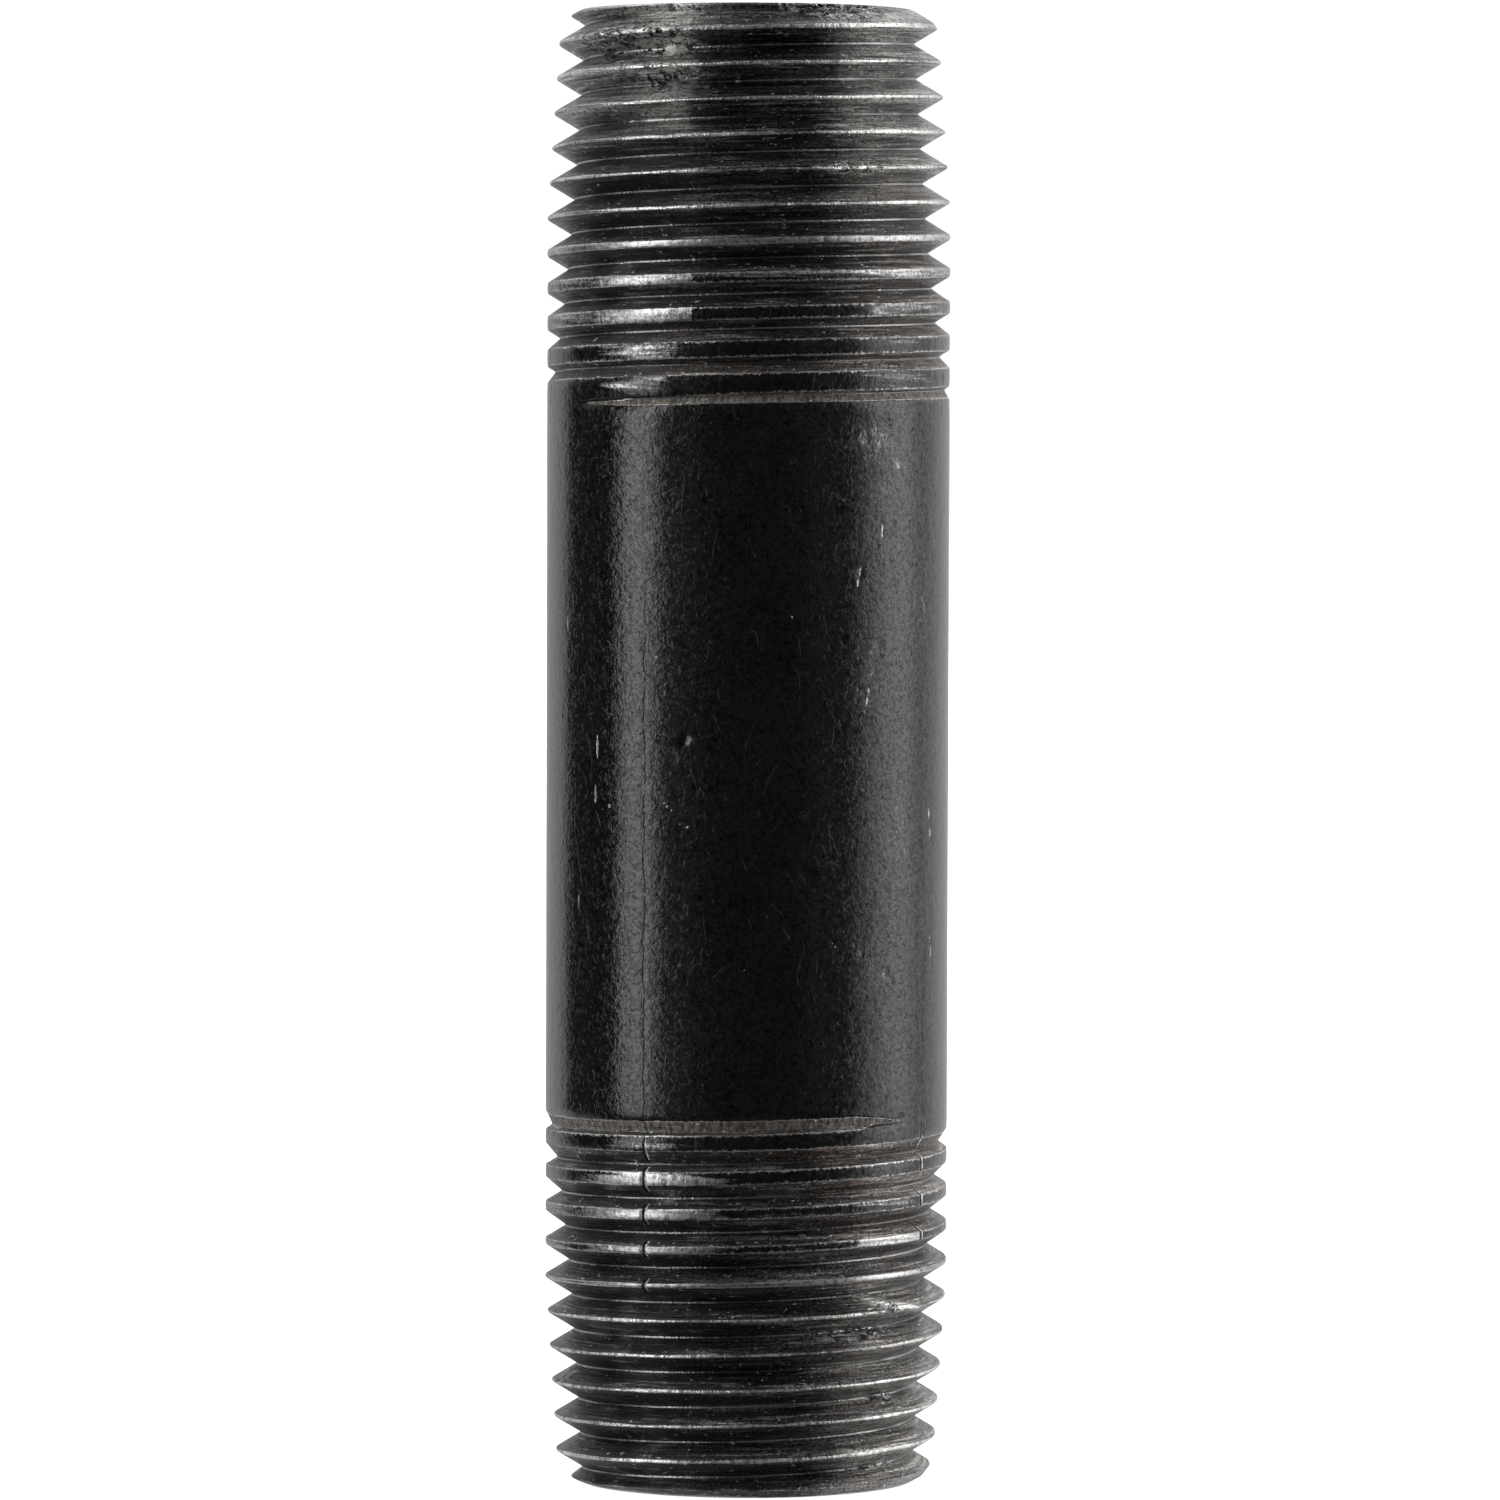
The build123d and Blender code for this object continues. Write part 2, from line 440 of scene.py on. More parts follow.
def add_object(name, data):
    """A new object in the scene."""
    thing = bpy.data.objects.new(name, data)
    bpy.context.scene.collection.objects.link(thing)
    return thing


mark_names = ("skin_mm", "ramp", "root", "bare", "film", "painted_sheen", "painted_shade", "torn")
steel, scale, lacquer = 0, 1, 2


class Surface:
    """Collects the vertices and faces of one closed piece of pipe, column by column."""

    def __init__(self, angles):
        self.angles = angles
        self.count = len(angles)
        self.position, self.length = [], []
        self.marks = {name: [] for name in mark_names}
        self.faces, self.face_u, self.material = [], [], []
        self.total = 0

    def add_row(self, radius, height, run_length, **marks):
        """One ring of vertices with the marks that the materials read. Returns their indices."""
        x, y = radius * np.cos(self.angles), radius * np.sin(self.angles)
        self.position.append(np.stack([x, y, height + 0 * x], -1))
        self.length.append(run_length + 0 * x)
        for name in mark_names:
            self.marks[name].append(marks.get(name, 0.0) + 0 * x)
        self.total += self.count
        return np.arange(self.total - self.count, self.total)

    def join(self, below, above, material, flip, shift=None):
        """Faces between two rings; shift gives the pair that closes the ring, if it differs."""
        materials = np.broadcast_to(material, self.count)
        for j in range(self.count):
            k = (j + 1) % self.count
            right = shift if k == 0 and shift is not None else (below[k], above[k])
            loop = [(below[j], j), (right[0], j + 1), (right[1], j + 1), (above[j], j)]
            self.add_face(loop, int(materials[j]), flip)

    def join_all(self, rings, material, flip):
        """Faces between each ring and the next."""
        for below, above in zip(rings[:-1], rings[1:]):
            self.join(below, above, material, flip)

    def add_bore(self, heights, lengths, flip):
        """Rings of the bore's wall, plain at both ends so that the pieces meet. Returns them."""
        rings = []
        for height, run_length in zip(heights, lengths):
            plain = height in (heights[0], heights[-1])
            radius = bore_radius if plain else bore_wall(self.angles, height)
            rings.append(self.add_row(radius, height, run_length, skin_mm=-2.0))
        self.join_all(rings, scale, flip)
        return rings

    def add_face(self, loop, material, flip):
        if flip:
            loop = loop[::-1]
        kept = [item for i, item in enumerate(loop) if item[0] != loop[i - 1][0]]
        if len(kept) < 3 or len({item[0] for item in kept}) < len(kept):
            return
        self.faces.append([int(item[0]) for item in kept])
        self.face_u.append([item[1] / self.count for item in kept])
        self.material.append(material)

    def finish(self, name):
        """Drops unused vertices and makes the object in metres, with its cylindrical UV map."""
        used = np.zeros(self.total, bool)
        used[np.concatenate(self.faces)] = True
        place = np.cumsum(used) - 1
        faces = [[int(place[i]) for i in face] for face in self.faces]
        mesh = bpy.data.meshes.new(name)
        mesh.from_pydata((np.concatenate(self.position)[used] * MM).tolist(), [], faces)
        row_length = np.concatenate(self.length)[np.concatenate(self.faces)]
        uv = np.stack([np.concatenate(self.face_u), row_length / (TURN * pipe_radius)], -1)
        span = max(1.0, uv[:, 1].max())
        layer = mesh.uv_layers.new(name="OFBake")
        layer.data.foreach_set("uv", (uv / span).astype(np.float32).ravel())
        for key, values in self.marks.items():
            attribute = mesh.attributes.new(key, "FLOAT", "POINT")
            attribute.data.foreach_set("value", np.concatenate(values)[used].astype(np.float32))
        mesh.polygons.foreach_set("material_index", np.asarray(self.material, np.int32))
        mesh.polygons.foreach_set("use_smooth", np.ones(len(faces), bool))
        mesh.set_sharp_from_angle(angle=math.radians(46))
        mesh.validate()
        return add_object(name, mesh)


def threaded_end(name, end, own_damage, own_marks):
    """One threaded end, closed: thread, nose, end face, bore and the hidden cut to the barrel."""
    run, zone, inward, seed = end["run"], end["zone"], end["inward"], end["seed"]
    first = end["run_out_angle"] / 360 * columns
    order = np.arange(columns)
    index = (math.ceil(first) + order if inward > 0 else math.floor(first) - order) % columns
    angles = index * TURN / columns
    turn = np.mod(inward * (angles - math.radians(end["run_out_angle"])), TURN) / TURN
    (inset, radius, skin, ramp, root), per_cell = thread_rows(turn, angles, end)
    angle_grid = np.broadcast_to(angles, inset.shape)

    # Wear and damage, easing out towards the barrel
    inset = np.maximum.accumulate(inset, axis=0)
    rise = np.clip((radius - root_radius(inset, run)) / 1.3, 0, 1)
    rise = np.where(skin >= 0, 1.0, rise)
    to_barrel = smooth(zone - inset)
    off = thread_damage(angle_grid, inset, rise, seed) * smooth(inset / 0.3) * to_barrel
    off = off * smooth((run + 0.4 - inset) / 0.4)
    off = off + own_damage(angle_grid, inset, rise) * to_barrel * (inset > -0.5)
    radius = np.minimum(radius - off, pipe_radius)

    # Trim to the end face and to the barrel
    rows = len(inset)
    at_end, skin_at_end = (
        np.array([np.interp(0.0, inset[:, j], values[:, j]) for j in range(columns)])
        for values in (radius, skin)
    )
    at_end = np.minimum(at_end, nose_radius)
    before, beyond = inset <= 1e-4, inset >= zone - 1e-4
    radius = np.where(before, at_end, np.where(beyond, pipe_radius, radius))
    inset = np.clip(inset, 0.0, zone)
    skin = np.where(before, skin_at_end, skin) - 0.5 * smooth(1 - inset / nose_length)
    row_step = np.hypot(np.diff(inset, axis=0), np.diff(radius, axis=0))
    run_length = np.vstack([np.zeros(columns), np.cumsum(row_step, axis=0)])
    marks = {"skin_mm": skin, "ramp": ramp, "root": root, **own_marks(angle_grid, inset)}

    surface = Surface(angles)
    flip = inward > 0

    # Bore from the barrel's side to the end face
    bore_insets = np.append(np.linspace(zone, 1.2, bore_rings - 4), (0.9, 0.6, bore_chamfer))
    rings = surface.add_bore(end["z"] + inward * bore_insets, zone - bore_insets, flip)

    # End face, from the bore's chamfer out to the nose
    nicks = 0.05 * np.maximum(layered_noise(angles, 3.0 + 0 * angles, 60, 1.0, seed + 61), 0)
    lip_radius = bore_radius + bore_chamfer + nicks
    face_rings = [surface.add_row(lip_radius, end["z"], zone, skin_mm=-2.0)]
    surface.join(rings[-1], face_rings[0], steel, flip)
    for share in (0.35, 0.7):
        ring_radius = lip_radius + (at_end - lip_radius) * share
        dip = 0.012 * np.maximum(layered_noise(angles, 9.0 * share + 0 * angles, 50, 1.0, seed + 62), 0)
        height = end["z"] + inward * dip
        face_rings.append(surface.add_row(ring_radius, height, zone + share, skin_mm=-0.6))

    # The threaded surface; rows that share a place share a vertex
    base_length = zone + nose_radius - bore_radius
    grid = np.stack([
        surface.add_row(
            radius[row], end["z"] + inward * inset[row], base_length + run_length[row],
            **{key: values[row] for key, values in marks.items()},
        )
        for row in range(rows)
    ])
    for row in range(1, rows):
        close = np.abs(inset[row] - inset[row - 1]) + np.abs(radius[row] - radius[row - 1]) < 3e-4
        grid[row] = np.where(close, grid[row - 1], grid[row])
    last = np.array([grid[np.argmax(beyond[:, j]), j] for j in range(columns)])
    grid = np.where(beyond, last[None, :], grid)
    surface.join_all(face_rings + [grid[0]], steel, flip)

    # Past the last column, a row goes on one turn of the thread further in
    on_skin = (skin[:-1] + skin[1:] > -0.01) & (inset[:-1] > crests_meet_skin)
    finish_of = np.where(on_skin, lacquer, steel)
    closing = grid[np.minimum(np.arange(rows) + per_cell, rows - 1), 0]
    for row in range(rows - 1):
        surface.join(grid[row], grid[row + 1], finish_of[row], flip, closing[row:row + 2])
    for row in range(per_cell):
        corner = [(grid[0, -1], columns - 1), (grid[row, 0], columns), (grid[row + 1, 0], columns)]
        surface.add_face(corner, steel, flip)
    surface.join(last, rings[0], scale, flip)
    return surface.finish(name)


def plain_barrel(name):
    """The plain length between the threads, with its dents, scratches and the two long marks."""
    angles = np.arange(columns) * TURN / columns
    low, high = lower_zone, length - upper_zone
    surface = Surface(angles)
    outer = []
    for number, at in enumerate(np.linspace(low, high, barrel_rows)):
        off = barrel_damage(angles, at + 0 * angles)
        off = off * float(smooth(min(number, barrel_rows - 1 - number) / 3.0))
        marks = barrel_marks(angles, at)
        outer.append(surface.add_row(pipe_radius - off, at, at - low, skin_mm=3.0, **marks))
    surface.join_all(outer, lacquer, False)
    bore_heights = np.linspace(high, low, bore_rings)
    inner = surface.add_bore(bore_heights, 2 * high - low - bore_heights, False)
    surface.join(outer[-1], inner[0], scale, False)
    surface.join(inner[-1], outer[0], scale, False)
    return surface.finish(name)


# Dents in the barrel, each with a low rim: angle, height, half width, half height, depth
dents = (
    (285, 50.2, 0.34, 0.30, 0.06), (252, 39.0, 0.34, 0.24, 0.16), (287, 32.2, 0.45, 0.42, 0.08),
    (303, 47.6, 0.22, 0.12, 0.05), (250, 27.5, 0.18, 0.16, 0.05), (313, 27.0, 0.2, 0.3, 0.04),
    (310, 43.9, 0.30, 0.22, 0.06), (318, 41.6, 0.22, 0.22, 0.05), (288, 42.5, 0.25, 0.2, 0.04),
    (256, 36.5, 0.30, 0.2, 0.04), (313, 31.5, 0.12, 0.12, 0.05),
)


def barrel_damage(angle, height):
    """Millimetres to take off the plain barrel's radius."""
    off = 0.010 * (0.5 + 0.5 * layered_noise(angle, height, 14, 9.0, 101))
    off = off + 0.004 * layered_noise(angle, height, 90, 0.9, 102)
    weld_reach = smooth((49 - height) / 9)
    weld_path = angle_apart(angle, weld_angle) + 0.05 * ring_noise(angle * 0, height, 4, 1.4, 103)
    off = off + 0.010 * np.exp(-(weld_path / 0.12) ** 2) * weld_reach
    mark_reach = smooth((29 - height) / 3)
    off = off + 0.012 * np.exp(-(angle_apart(angle, mark_angle) / 0.12) ** 2) * mark_reach
    for centre, at, across, along, depth in dents:
        hollow, inner, outer = (
            pit(angle, height, centre, at, across * grown, along * grown, 20) for grown in (1, 1.2, 1.7)
        )
        off = off + depth * hollow - 0.35 * depth * (outer - inner)
    off = off + 0.02 * scratched(angle, height)
    return np.maximum(off, 0.0)


# ---- Materials ----
class Graph:
    """A short way to write a node tree."""

    def __init__(self, tree):
        self.tree = tree
        tree.nodes.clear()

    def node(self, kind, inputs=(), **settings):
        """A shader node of this kind. Each input is linked from a socket or set to a value."""
        node = self.tree.nodes.new("ShaderNode" + kind)
        for key, value in settings.items():
            setattr(node, key, value)
        for key, value in dict(inputs).items():
            if isinstance(value, bpy.types.NodeSocket):
                self.tree.links.new(value, node.inputs[key])
            else:
                node.inputs[key].default_value = value
        return node

    def math(self, operation, a, b=0.0):
        return self.node("Math", {0: a, 1: b}, operation=operation).outputs[0]

    def chain(self, operation, values):
        total = values[0]
        for value in values[1:]:
            total = self.math(operation, total, value)
        return total

    def add(self, *values):
        return self.chain("ADD", values)

    def times(self, *values):
        return self.chain("MULTIPLY", values)

    def most(self, *values):
        return self.chain("MAXIMUM", values)

    def less(self, a, b):
        return self.math("SUBTRACT", a, b)

    def apart(self, a, b):
        return self.math("ABSOLUTE", self.less(a, b))

    def between(self, value, low, high, out_low=0.0, out_high=1.0):
        """Maps low..high to out_low..out_high with eased ends."""
        ends = {"From Min": low, "From Max": high, "To Min": out_low, "To Max": out_high}
        node = self.node("MapRange", {"Value": value, **ends}, interpolation_type="SMOOTHSTEP")
        return node.outputs["Result"]

    def mix(self, share, a, b):
        return self.node("Mix", {"Factor": share, 2: a, 3: b}).outputs[0]

    def mix_colour(self, share, a, b):
        return self.node("Mix", {0: share, 6: a, 7: b}, data_type="RGBA").outputs[2]

    def tint(self, colour, value, low, high, share, other):
        """The colour with up to this share of the other where value goes from low to high."""
        return self.mix_colour(self.between(value, low, high, 0.0, share), colour, other)

    def noise(self, vector, scale, detail=2.0, roughness=0.5, distortion=0.0, **fourth):
        """Noise in three dimensions, or in four where W is given."""
        inputs = {
            "Vector": vector, "Scale": scale, "Detail": detail, "Roughness": roughness,
            "Distortion": distortion, **fourth,
        }
        node = self.node("TexNoise", inputs, noise_dimensions="4D" if fourth else "3D")
        return node.outputs["Fac"]

    def scaled(self, vector, scale, rotation=(0, 0, 0)):
        inputs = {"Vector": vector, "Scale": scale, "Rotation": rotation}
        return self.node("Mapping", inputs).outputs["Vector"]

    def attribute(self, name):
        return self.node("Attribute", attribute_name=name).outputs["Fac"]


def skin_place(g):
    """Object coordinates in millimetres, the height, and the radius from the axis."""
    place = g.node("TexCoord").outputs["Object"]
    place = g.scaled(place, (1000, 1000, 1000))
    x, y, height = g.node("SeparateXYZ", {0: place}).outputs
    flat = g.node("CombineXYZ", {0: x, 1: y}).outputs[0]
    radius = g.node("VectorMath", {0: flat}, operation="LENGTH").outputs["Value"]
    return place, height, radius


def tool_lines(g, place, radius, fineness, reach, detail=4.0):
    """Streaks left by the cutter: fineness per mm across the cut, reach per mm along it."""
    stretched = g.scaled(place, (reach, reach, fineness))
    return g.noise(stretched, 1.0, detail, 0.62, W=g.times(radius, fineness))


def finish_material(name, surface):
    """A material whose Principled shader gets what surface(g) returns."""
    material = bpy.data.materials.new(name)
    material.use_nodes = True
    g = Graph(material.node_tree)
    inputs, relief = surface(g)
    bump = g.node("Bump", {"Strength": 1.0, "Distance": MM, "Height": relief}).outputs[0]
    shader = g.node("BsdfPrincipled", {**inputs, "Normal": bump})
    g.node("OutputMaterial", {"Surface": shader.outputs[0]})
    return material


def centred(g, value, amount):
    """A 0..1 noise as a height of amount mm about 0."""
    return g.times(g.less(value, 0.5), amount)


def long_marks(g, place):
    """The weld line and the second line along the pipe: masks of the dark crack and of the bright lip
    beside it. They are hair-thin on the barrel and wider where they notch the crests."""
    x, y, z = g.node("SeparateXYZ", {0: place}).outputs
    dark, bright = 0.0, 0.0
    on_thread = g.between(z, 18.6, 18.2)
    wander = centred(g, g.noise(g.scaled(place, (0.02, 0.02, 0.55)), 1.0, 5.0, 0.72), 0.75)
    wander = g.times(wander, g.less(1.0, g.times(on_thread, 0.8)))
    broken = g.between(g.noise(g.scaled(place, (0.2, 0.2, 1.6)), 1.0, 3.0, 0.6), 0.36, 0.50)
    broken = g.most(broken, on_thread)
    for degrees, foot, head, fade, line_width in (
        (weld_angle, 9.0, 49.0, 9.0, 0.022), (mark_angle, 10.5, 29.0, 4.0, 0.020),
    ):
        across, out = math.radians(degrees + 90), math.radians(degrees)
        sideways = g.add(g.times(x, math.cos(across)), g.times(y, math.sin(across)))
        facing = g.add(g.times(x, math.cos(out)), g.times(y, math.sin(out)))
        off_line = g.add(sideways, wander)
        width = g.mix(on_thread, line_width, 0.055)
        core = g.between(g.math("DIVIDE", g.math("ABSOLUTE", off_line), width), 1.6, 0.7)
        lip = g.between(g.apart(off_line, 0.125), 0.065, 0.040)
        here = g.times(
            g.math("GREATER_THAN", facing, 0.0), g.between(z, head, head - fade),
            g.between(z, foot, foot + 2.0),
        )
        dark = g.most(dark, g.times(core, here, broken))
        bright = g.most(bright, g.times(lip, here, on_thread))
    return dark, bright


pale_steel = (0.80, 0.79, 0.77, 1)
rubbed_and_highlight_steel = (0.78, 0.77, 0.75, 1)
scored_steel = (0.72, 0.71, 0.69, 1)
sheen_and_grit_steel = (0.62, 0.61, 0.59, 1)
grime = (0.03, 0.029, 0.028, 1)


def cut_steel(g):
    """Thread flanks, roots and end faces: dark cut steel with tool lines, oil film and bright edges,
    with a painted sheen in the bands that face the side lights and painted shade, most at the left.
    """
    place, height, radius = skin_place(g)
    skin, ramp, film = g.attribute("skin_mm"), g.attribute("ramp"), g.attribute("film")
    painted_sheen, torn = g.attribute("painted_sheen"), g.attribute("torn")
    laid = g.between(ramp, 0.25, 0.50)
    root = g.times(g.between(g.attribute("root"), 0.90, 0.98), g.between(ramp, 0.25, 0.15))
    lines = tool_lines(g, place, radius, 3.0, 0.20, 5.0)
    fine_lines = tool_lines(g, place, radius, 6.0, 0.35, 2.0)
    broad = tool_lines(g, place, radius, 1.1, 0.14, 3.0)
    grain = g.noise(place, 5.0, 3.0, 0.7)
    grit = g.noise(place, 8.0, 1.0, 0.5)
    ticks = g.noise(g.scaled(place, (5.0, 5.0, 0.9)), 1.0, 2.0, 0.5)
    dark_mark, bright_mark = long_marks(g, place)
    near_crest = g.between(skin, -0.45, -0.30)

    # Streaky cut surface: tool lines, brown film and grit, with a painted sheen and painted shade
    base = g.tint((0.055, 0.053, 0.052, 1), broad, 0.36, 0.62, 1.0, (0.25, 0.245, 0.24, 1))
    # Painted highlight: paler steel where the sheen is painted in the bands that face the side lights
    base = g.mix_colour(g.times(painted_sheen, 0.80), base, sheen_and_grit_steel)
    base = g.tint(base, lines, 0.54, 0.62, 0.9, pale_steel)
    base = g.tint(base, lines, 0.49, 0.39, 0.75, grime)
    base = g.tint(base, fine_lines, 0.46, 0.34, 0.4, grime)
    base = g.tint(base, fine_lines, 0.62, 0.70, 0.5, scored_steel)
    patchy = g.times(film, g.between(g.noise(place, 0.9, 4.0, 0.65), 0.30, 0.62))
    brown = g.tint((0.070, 0.045, 0.032, 1), lines, 0.42, 0.60, 1.0, (0.36, 0.27, 0.21, 1))
    base = g.mix_colour(g.times(patchy, 0.65), base, brown)
    base = g.tint(base, grain, 0.52, 0.36, 0.8, (0.022, 0.021, 0.020, 1))
    base = g.tint(base, grit, 0.44, 0.34, 0.8, (0.015, 0.014, 0.013, 1))
    base = g.tint(base, grit, 0.60, 0.70, 0.35, sheen_and_grit_steel)
    # Painted shade: darker cut steel in patches, strongest at the left side
    painted_shade = g.times(g.attribute("painted_shade"), g.between(g.noise(place, 0.55, 3.0, 0.6), 0.2, 0.6))
    base = g.mix_colour(painted_shade, base, (0.045, 0.043, 0.042, 1))

    # The lain-down flank of the run-out is torn and matte
    matte = g.tint((0.080, 0.066, 0.056, 1), ticks, 0.30, 0.66, 1.0, (0.26, 0.235, 0.21, 1))
    matte = g.tint(matte, grain, 0.46, 0.36, 0.7, (0.03, 0.026, 0.022, 1))
    base = g.mix_colour(laid, base, matte)
    root_colour = g.tint((0.10, 0.098, 0.095, 1), broad, 0.42, 0.58, 1.0, (0.34, 0.335, 0.33, 1))
    base = g.mix_colour(root, base, root_colour)

    # Bright: the rubbed crests with their beads, loose flecks, the rim, the marks' lips, and the torn
    # flaps, pale torn metal with a painted highlight
    wavering = g.add(skin, centred(g, lines, 0.30))
    beads = g.between(g.noise(g.scaled(place, (3.4, 3.4, 0.5)), 1.0, 2.0, 0.6), 0.38, 0.52, 0.35, 1.0)
    crests = g.times(g.between(wavering, 0.0, 0.05), g.between(broad, 0.36, 0.56, 0.25, 1.0), beads)
    fleck = g.between(g.noise(g.scaled(place, (2.6, 2.6, 5.2)), 1.0, 2.0, 0.6), 0.66, 0.70)
    from_end = g.math("MINIMUM", height, g.less(length, height))
    rim = g.times(
        g.between(from_end, 0.13, 0.05), g.between(radius, 8.45, 8.60), g.between(broad, 0.34, 0.52)
    )
    # Painted highlight: the torn flaps, where the sheen is strongest, are painted bright
    flap_highlight = g.between(painted_sheen, 1.40, 1.60)
    bright = g.most(crests, g.times(fleck, 0.8), rim, g.times(bright_mark, near_crest), flap_highlight)
    base = g.mix_colour(bright, base, rubbed_and_highlight_steel)

    # Torn metal: pale, with dark slits running off at a slant
    ragged = g.noise(g.scaled(place, (1.5, 1.5, 2.9), (0.0, 0.45, 0.0)), 1.0, 3.0, 0.62, 0.6)
    here = g.between(torn, 0.15, 0.50)
    slit = g.times(
        g.between(g.apart(ragged, 0.50), 0.075, 0.035),
        g.between(g.noise(place, 1.6, 2.0, 0.5), 0.47, 0.53), here,
    )
    burr = g.times(g.between(g.apart(ragged, 0.60), 0.035, 0.015), here)
    base = g.mix_colour(g.times(burr, 0.8), base, rubbed_and_highlight_steel)
    hole = g.most(slit, g.times(dark_mark, near_crest))
    base = g.mix_colour(g.times(hole, 0.95), base, (0.012, 0.011, 0.010, 1))

    rough = g.mix(broad, 0.22, 0.44)
    rough = g.mix(g.times(patchy, 0.7), rough, 0.55)
    rough = g.mix(laid, rough, 0.62)
    rough = g.mix(g.most(g.times(bright, 0.9), root), rough, 0.20)
    relief = g.add(
        g.times(centred(g, lines, 0.15), g.less(1.0, g.times(root, 0.8))),
        centred(g, fine_lines, 0.05), centred(g, grain, 0.045), centred(g, grit, 0.025),
        g.times(laid, centred(g, ticks, 0.10)), g.times(fleck, 0.03), g.times(hole, -0.10),
        g.times(burr, 0.03),
    )
    inputs = {
        "Base Color": base, "Roughness": rough,
        "Metallic": g.less(1.0, g.most(g.times(laid, 0.72), g.times(film, 0.45))),
        "Anisotropic": 0.6, "Anisotropic Rotation": 0.25,
        "Tangent": g.node("Tangent", direction_type="RADIAL", axis="Z").outputs[0],
    }
    return inputs, relief


def hair_scratches(g, place):
    """Thin curved scratches in three directions, broken up into short lengths."""
    scratch = 0.0
    for size, turned, shift in ((0.55, 0.5, 3.0), (0.8, -0.7, 11.0), (0.45, 1.3, 29.0)):
        laid = g.scaled(place, (1.0, 1.0, 0.42), (turned, 0.35 * turned, 0.0))
        moved = g.node("VectorMath", {0: laid, 1: (shift, 0, 0)}).outputs[0]
        line = g.between(g.apart(g.noise(moved, size, 1.5, 0.45), 0.5), 0.0045, 0.0010)
        scratch = g.most(scratch, g.times(line, g.between(g.noise(moved, 0.9, 3.0, 0.6), 0.54, 0.64)))
    return scratch


